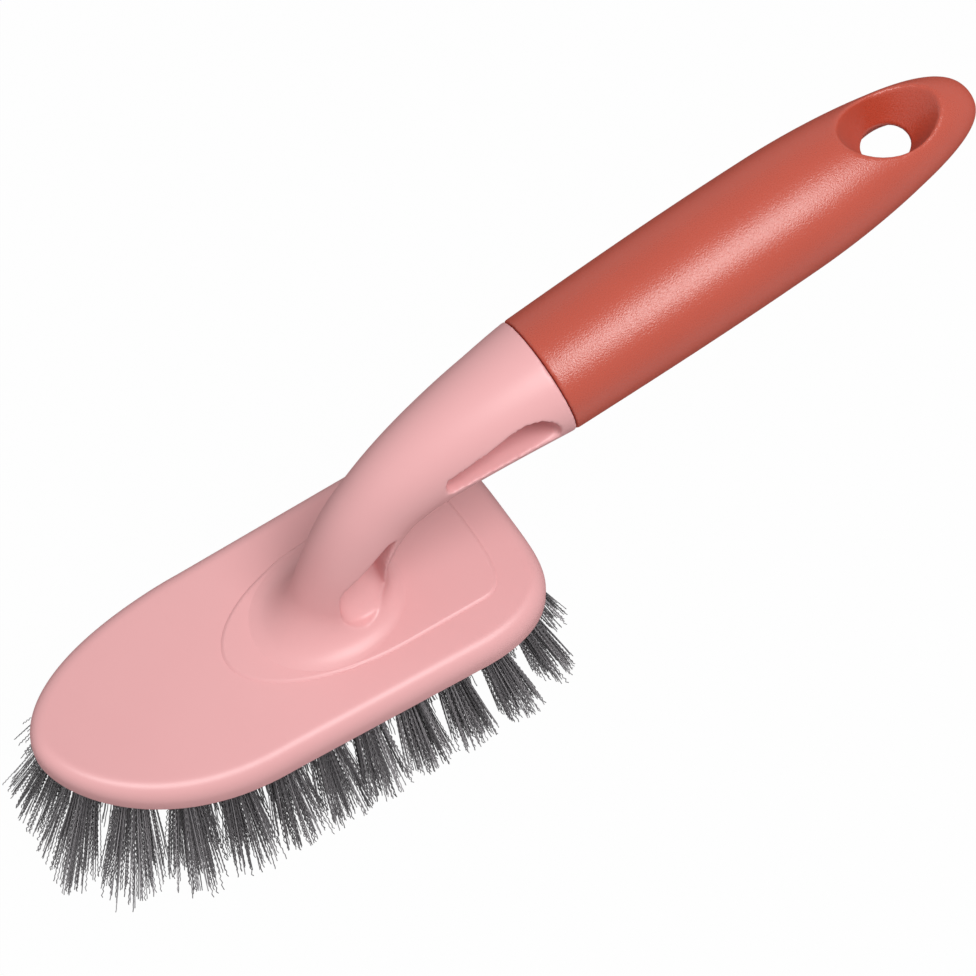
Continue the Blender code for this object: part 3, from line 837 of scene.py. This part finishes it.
# %% Scoops beside the grip
scoop_front = seam_x - 0.0346
scoop_rear = seam_x - 0.0038
scoop_crown = seam_x - 0.0132
scoop_low_front = seam_height - 0.0105
scoop_low_rear = seam_height - 0.0032
scoop_high_front = seam_height - 0.0049
scoop_high_rear = seam_height + 0.0044
scoop_depth = 0.0110
scoop_lip = 0.0024
scoop_drop = 0.0018
scoop_front_drop_share = 0.3
scoop_chamfer = 0.0034
scoop_draft = 0.0010
scoop_lip_radius = 0.0012
scoop_floor_radius = 0.0028
scoop_front_radius = 0.0022
scoop_rear_radius = 0.0085
scoop_crown_radius = 0.0200
scoop_outside_y = seam_half_width + 0.0025


def scoop_line(draft, drop, low_radius):
    """Wedge shape of the scoop; drop lowers its floor."""
    corners = [
        Vector((scoop_front + draft, scoop_low_front - drop * scoop_front_drop_share)),
        Vector((scoop_rear - draft, scoop_low_rear - drop)),
        Vector((scoop_rear - draft, scoop_high_rear)),
        Vector((scoop_crown, scoop_high_rear)),
        Vector((scoop_front + draft, scoop_high_front)),
    ]
    upper_radii = [scoop_rear_radius, scoop_crown_radius, scoop_front_radius]
    return arc_outline(corners, [scoop_front_radius, low_radius] + upper_radii)


scoop_outlines = [
    (scoop_line(0.0, scoop_chamfer, scoop_lip_radius), scoop_outside_y),
    (scoop_line(0.0, 0.0, scoop_lip_radius), seam_half_width - scoop_lip),
    (scoop_line(scoop_draft, scoop_drop, scoop_floor_radius), seam_half_width - scoop_depth),
]
for side in (1, -1):
    carve(neck, side_cutter("grip_scoop", scoop_outlines, side))
print("two scoops cut")

# %% One soft skin for the neck
neck_grain = 0.000455
neck_rounds = 8
soften(neck, neck_grain, neck_rounds)
print(f"neck of {len(neck.data.polygons)} faces")

# %% [markdown]
# ## Drilled holes
# The bristles are stapled into holes drilled up into the plate, each along the lean of its own tuft.
# The CAD model has one node for each tuft, so the middle of its root and the middle of its tips give
# the line of the hole. All the drills are joined and cut at once, which is quicker than one by one.

# %% Line of each tuft
tuft_names = sorted(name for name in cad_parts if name.startswith("bristle_tuft"))
hole_radius = 0.0031
hole_depth = 0.0062
root_band = 0.0027
tip_band = 0.0001


def tuft_line(name):
    """Middle of a tuft's root and of its tips."""
    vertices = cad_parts[name].data.vertices
    corners = {tuple(round(value, 6) for value in vertex.co) for vertex in vertices}
    spots = np.array(sorted(corners))
    roots = spots[spots[:, 2] > spots[:, 2].max() - root_band]
    tips = spots[spots[:, 2] < tip_band]
    return Vector(roots.mean(axis=0)), Vector(tips.mean(axis=0))


tuft_lines = {name: tuft_line(name) for name in tuft_names}
print(f"{len(tuft_lines)} tufts found")


# %% Holes
drill_count = 20
drill_head_room = 0.0003
drill_overrun = 0.0040


def round_ring(centre, line, radius, count):
    """Ring square to a line."""
    side = line.cross(Vector((1.0, 0.0, 0.0))).normalized()
    other = line.cross(side)
    turns = [2 * math.pi * k / count for k in range(count)]
    return [centre + side * radius * math.cos(t) + other * radius * math.sin(t) for t in turns]


def joined(name, *pieces):
    """One piece from several."""
    points, faces = [], []
    for piece in pieces:
        first = len(points)
        points += [vertex.co.copy() for vertex in piece.data.vertices]
        faces += [tuple(first + index for index in face.vertices) for face in piece.data.polygons]
    for piece in pieces:
        bpy.data.objects.remove(piece, do_unlink=True)
    return new_piece(name, points, faces)


drills = []
for name, (tuft_root, tuft_tip) in tuft_lines.items():
    line = (tuft_tip - tuft_root).normalized()
    top = tuft_root - line * drill_head_room
    reaches = (0.0, hole_depth + drill_overrun)
    rings = [round_ring(top + line * reach, line, hole_radius, drill_count) for reach in reaches]
    drills.append(loft("drill", rings))
carve(plate, joined("drills", *drills))
print(f"{len(drills)} holes drilled")

# %% Whole head
sharp_angle = math.radians(42.0)
head = joined("head_moulding", plate, island, neck, tang)
head.data.set_sharp_from_angle(angle=sharp_angle)
head.data.materials.append(pink)
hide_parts("brush_head")
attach(head, "root")
print(f"head of {len(head.data.polygons)} faces")

# %% [markdown]
# ## The grip
# The grip is a soft sleeve with a round end and a dished hole to hang it by. The dish is much longer
# than the hole, and its lip is broadly rounded. The sleeve is lofted solid, the dish is cut, and the
# remesh gives it an even skin. Then only the points near the lip are relaxed further.
# The rings of the round end lie closer and closer together, and the last one stops just short of the
# tip, where a ring would shrink to a point.

# %% Grip body
grip_grain = 0.00045
grip_rounds = 4
body_start = 0.02
body_span = 0.52
body_count = 26
end_count = 60
end_stop = 1.0 - 0.25 / 9
end_begin = 1.0 - end_share
end_pitch_power = 2.0 / end_powers[0]
end_turns = [math.pi / 2 * end_stop * k / end_count for k in range(end_count + 1)]
grip_shares = [seam_gap / handle_length]
grip_shares += [body_start + body_span * k / body_count for k in range(body_count + 1)]
grip_shares += [end_begin + end_share * math.sin(turn) ** end_pitch_power for turn in end_turns]
grip = loft("grip_sleeve", [grip_section(share) for share in grip_shares])
print(f"grip lofted through {len(grip_shares)} sections")

# %% Hanging hole
hole_share = 0.803
waist_half_length = 0.0064
waist_half_width = 0.0062
land_half = 0.0005
dish_growth_length = 0.0093
dish_growth_width = 0.0052
dish_shift = 0.0031
dish_power = 0.90
dish_overshoot = 1.35
dish_count = 30
dish_pitch_power = 1.5
hole_centre, hole_angle = handle_place(hole_share)
hole_half_depth = grip_half_size(hole_share)[1]
hole_along, hole_up = heading(hole_angle), square_to(hole_angle)
dish_shares = [dish_overshoot * (k / dish_count) ** dish_pitch_power for k in range(dish_count + 1)]


def dish_half_size(share):
    """Half length and half width of the dish; share 0 is its waist and 1 the skin of the grip."""
    grow = share**dish_power
    return waist_half_length + dish_growth_length * grow, waist_half_width + dish_growth_width * grow


dish_rings = []
for way, shares in ((-1, reversed(dish_shares)), (1, dish_shares)):
    for share in shares:
        height = way * (land_half + (hole_half_depth - land_half) * share)
        middle = hole_centre + hole_along * dish_shift * share + hole_up * height
        long_half, wide_half = dish_half_size(share)
        long_way, wide_way = hole_along * long_half, across * wide_half
        dish_rings.append([middle + long_way * math.cos(t) + wide_way * math.sin(t) for t in oval_turns])
carve(grip, loft("dish", dish_rings))
soften(grip, grip_grain, grip_rounds)
print(f"grip of {len(grip.data.polygons)} faces")

# %% Round lip of the dish
lip_reach = 0.0034
lip_zone = (0.55, 0.99)
lip_gain = 1.6
lip_rounds = 18
dish_mean_radius = 0.010


def lip_weight(spot):
    """1 on the lip of the dish, falling to 0 a few millimetres away."""
    offset = spot - hole_centre
    share = hole_share + offset.dot(hole_along) / handle_length
    if not lip_zone[0] < share < lip_zone[1]:
        return 0.0
    centre, angle = handle_place(share)
    width, depth = grip_half_size(share)
    below = (1.0 - math.hypot(spot.y / width, (spot - centre).dot(square_to(angle)) / depth)) * depth
    part_up = min(dish_overshoot, abs(offset.dot(hole_up)) / hole_half_depth)
    long_half, wide_half = dish_half_size(part_up)
    along = (offset.dot(hole_along) - dish_shift * part_up) / long_half
    outside = (math.hypot(along, spot.y / wide_half) - 1.0) * dish_mean_radius
    return max(0.0, 1.0 - math.hypot(below, outside) / lip_reach)


lip = grip.vertex_groups.new(name="lip")
for vertex in grip.data.vertices:
    weight = lip_weight(vertex.co)
    if weight > 0.0:
        lip.add([vertex.index], min(1.0, weight * lip_gain), "REPLACE")
relax = grip.modifiers.new("round the lip", "SMOOTH")
relax.factor = relax_factor
relax.iterations = lip_rounds
relax.vertex_group = "lip"
settle(grip)
grip.data.materials.append(terracotta)
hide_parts("grip")
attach(grip, "root")
print("lip of the hanging hole rounded")

# %% [markdown]
# ## Bristles
# A real tuft holds about a hundred and fifty thin filaments, folded in half and stapled into the hole.
# They leave it close together, fan out to the ground, and are crimped: each runs in a fine zigzag.
# The tufts at the nose are the longest and fan out most, and those at the heel stand up more steeply.
# Hair particles would be quicker to set up, but they don't become a mesh that other programs can
# read. So each filament is a three-sided tube in mesh code, drawn from a seeded random table.

# %% Bristle finish
bristle_dark = (0.024, 0.020, 0.024, 1.0)
bristle_light = (0.440, 0.416, 0.434, 1.0)
bristle_roughness = 0.36
bristle_gloss = 0.5
streak_scale = 900.0
streak_share = 0.30
bristle_grey, tree, shader, place = new_finish("grey_filament", bristle_roughness, bristle_gloss)
# The tone attribute holds each filament's own random grey, multiplied by a painted shade that darkens it
# towards the root.
tone = node(tree, "ShaderNodeAttribute", {"attribute_name": "tone"}).outputs["Fac"]
streak = speckle(tree, place, streak_scale, skin_detail)
streaks_and_root_shade = node(tree, "ShaderNodeMath", {"operation": "MULTIPLY_ADD"})
tree.links.new(streak, streaks_and_root_shade.inputs[0])
streaks_and_root_shade.inputs[1].default_value = streak_share
tree.links.new(tone, streaks_and_root_shade.inputs[2])
grey_tone = two_tones(tree, streaks_and_root_shade.outputs[0], bristle_dark, bristle_light)
tree.links.new(grey_tone, shader.inputs["Base Color"])
print("bristle finish mixed")

# %% Ends of the filaments
nose_fan_radius = 0.0102
heel_fan_radius = 0.0058
heel_begin = 0.72
heel_rise = 0.25
fan_scatter = 0.16
fan_part = (0.80, 1.06)
bunch_radius = 0.0027
tip_unevenness = 0.0016
box_margin = 0.0004


def turned_by(turn, frame_axes):
    """Unit vectors square to the tuft, one for each angle."""
    side, other = frame_axes
    return np.cos(turn)[:, None] * side + np.sin(turn)[:, None] * other


def heel_share(spot):
    """0 along the plate, rising to 1 at its heel."""
    return min(1.0, max(0.0, ((spot[0] - tip_x) / plate_length - heel_begin) / (1.0 - heel_begin)))


def fan_at(tip):
    """Radius of a tuft at the ground; those near the nose are longer and fan out more."""
    share = (tip[0] - tip_x) / plate_length
    return blend(nose_fan_radius, heel_fan_radius, min(1.0, max(0.0, share)))


def filament_ends(start, end, frame_axes, count, chance):
    """Roots and tips of the filaments; those whose tip leaves the CAD box are drawn again."""
    turn = chance.uniform(0.0, 2 * math.pi, count)
    out = np.sqrt(chance.uniform(0.0, 1.0, count))
    fan_turn = turn + chance.normal(0.0, fan_scatter, count)
    fan = fan_at(end) * out * chance.uniform(*fan_part, count)
    tip_height = box_margin + tip_unevenness * chance.uniform(0.0, 1.0, count) ** 2
    first = start + turned_by(turn, frame_axes) * (out * bunch_radius)[:, None]
    last = end + turned_by(fan_turn, frame_axes) * fan[:, None]
    last = first + (last - first) * ((first[:, 2] - tip_height) / (first[:, 2] - last[:, 2]))[:, None]
    low, high = np.array(cad_low)[:2] + box_margin, np.array(cad_high)[:2] - box_margin
    outside = ((last[:, :2] < low) | (last[:, :2] > high)).any(axis=1)
    if outside.any():
        first[outside], last[outside] = filament_ends(start, end, frame_axes, int(outside.sum()), chance)
    return first, last


# %% Path of each filament
filament_radius = 0.00015
crimp_depth = 0.00015
crimp_part = (0.4, 1.3)
crimp_growth = 6
crimp_change = 0.5
crimp_change_turn = 9.0
bend_scatter = 0.45
bow_depth = 0.0003


def filament_paths(start, end, frame_axes, count, pitch, chance):
    """Bends of the filaments, how far along each bend lies, and the way each filament sways."""
    first, last = filament_ends(start, end, frame_axes, count, chance)
    segments = round(np.linalg.norm(end - start) / pitch)
    places = np.arange(segments + 1) + chance.uniform(-bend_scatter, bend_scatter, count)[:, None]
    shares = (places / segments).clip(0.0, 1.0)
    shares[:, 0], shares[:, -1] = 0.0, 1.0
    sway = chance.uniform(0.0, 2 * math.pi, count)
    bow = np.sin(math.pi * shares) * chance.normal(0.0, bow_depth, count)[:, None]
    bends = np.where(np.arange(segments + 1) % 2, 1.0, -1.0) * np.minimum(1.0, shares * crimp_growth)
    crimp = bends * (crimp_depth * chance.uniform(*crimp_part, count))[:, None]
    crimp *= 1.0 + crimp_change * np.sin(shares * crimp_change_turn + sway[:, None])
    path = first[:, None] + (last - first)[:, None] * shares[:, :, None]
    path += turned_by(sway, frame_axes)[:, None] * crimp[:, :, None]
    path += turned_by(sway + math.pi / 2, frame_axes)[:, None] * bow[:, :, None]
    path[:, -1, 2] = np.maximum(path[:, -1, 2], filament_radius)
    return path, shares, sway


# %% Tube round each filament
sides = 3


def tube_points(path, sway, frame_axes):
    """Corners of the tubes, three at each bend."""
    corner_turns = sway[:, None] + np.arange(sides) * 2 * math.pi / sides
    corners = turned_by(corner_turns.ravel(), frame_axes).reshape(len(path), 1, sides, 3)
    return (path[:, :, None] + corners * filament_radius).reshape(-1, 3)


def tube_faces(count, segments):
    """Side faces and end faces of the tubes."""
    per_filament = sides * (segments + 1)
    pattern = []
    for row in range(segments):
        for k in range(sides):
            low, after = row * sides, (k + 1) % sides
            pattern.append((low + k, low + after, low + sides + after, low + sides + k))
    starts = np.arange(count) * per_filament
    faces = (starts[:, None, None] + np.array(pattern)).reshape(-1, 4).tolist()
    ends = [tuple(reversed(range(sides))), tuple(range(per_filament - sides, per_filament))]
    return faces + (starts[:, None, None] + np.array(ends)).reshape(-1, sides).tolist()


# %% One tuft
painted_root_shade = 0.45
tone_power = 1.6


def make_tuft(number, name, count, pitch):
    """One tuft of crimped filaments; pitch is the distance from bend to bend."""
    chance = np.random.default_rng(number)
    start, end = (np.array(spot) for spot in tuft_lines[name])
    end[:2] += (start[:2] - end[:2]) * heel_rise * heel_share(start)
    line = (end - start) / np.linalg.norm(end - start)
    side = np.cross(line, (1.0, 0.0, 0.0))
    side /= np.linalg.norm(side)
    frame_axes = (side, np.cross(line, side))
    path, shares, sway = filament_paths(start, end, frame_axes, count, pitch, chance)
    points = tube_points(path, sway, frame_axes)
    faces = tube_faces(count, path.shape[1] - 1)
    tuft = new_piece(name.replace("bristle", "crimped"), points, faces)
    # Each filament gets its own random grey. A painted shade makes every filament darker towards its root,
    # where the tuft is thick.
    own_tone = chance.uniform(0.0, 1.0, count) ** tone_power
    tones_with_root_shade = own_tone[:, None] * blend(painted_root_shade, 1.0, shares)
    attribute = tuft.data.attributes.new("tone", "FLOAT", "POINT")
    attribute.data.foreach_set("value", np.repeat(tones_with_root_shade.ravel(), sides).astype(np.float32))
    tuft.data.materials.append(bristle_grey)
    return tuft


# %% All the tufts
rim_tufts = 25
rim_filaments = 150
rim_pitch = 0.00105
inner_filaments = 110
inner_pitch = 0.0026
total = 0
for number, name in enumerate(tuft_names, start=1):
    count, pitch = rim_filaments, rim_pitch
    if number > rim_tufts:
        count, pitch = inner_filaments, inner_pitch
    tuft = make_tuft(number, name, count, pitch)
    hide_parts(name)
    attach(tuft, "root")
    total += 2 * len(tuft.data.polygons)
print(f"{len(tuft_names)} tufts of bristles, about {total} triangles")

# %% [markdown]
# ## Last steps
# The rendered colours should be the written ones, so the view transform is Standard. The finer shapes
# may not grow past the CAD model.

# %% Finish
bpy.context.scene.view_settings.view_transform = "Standard"
bpy.context.view_layer.update()
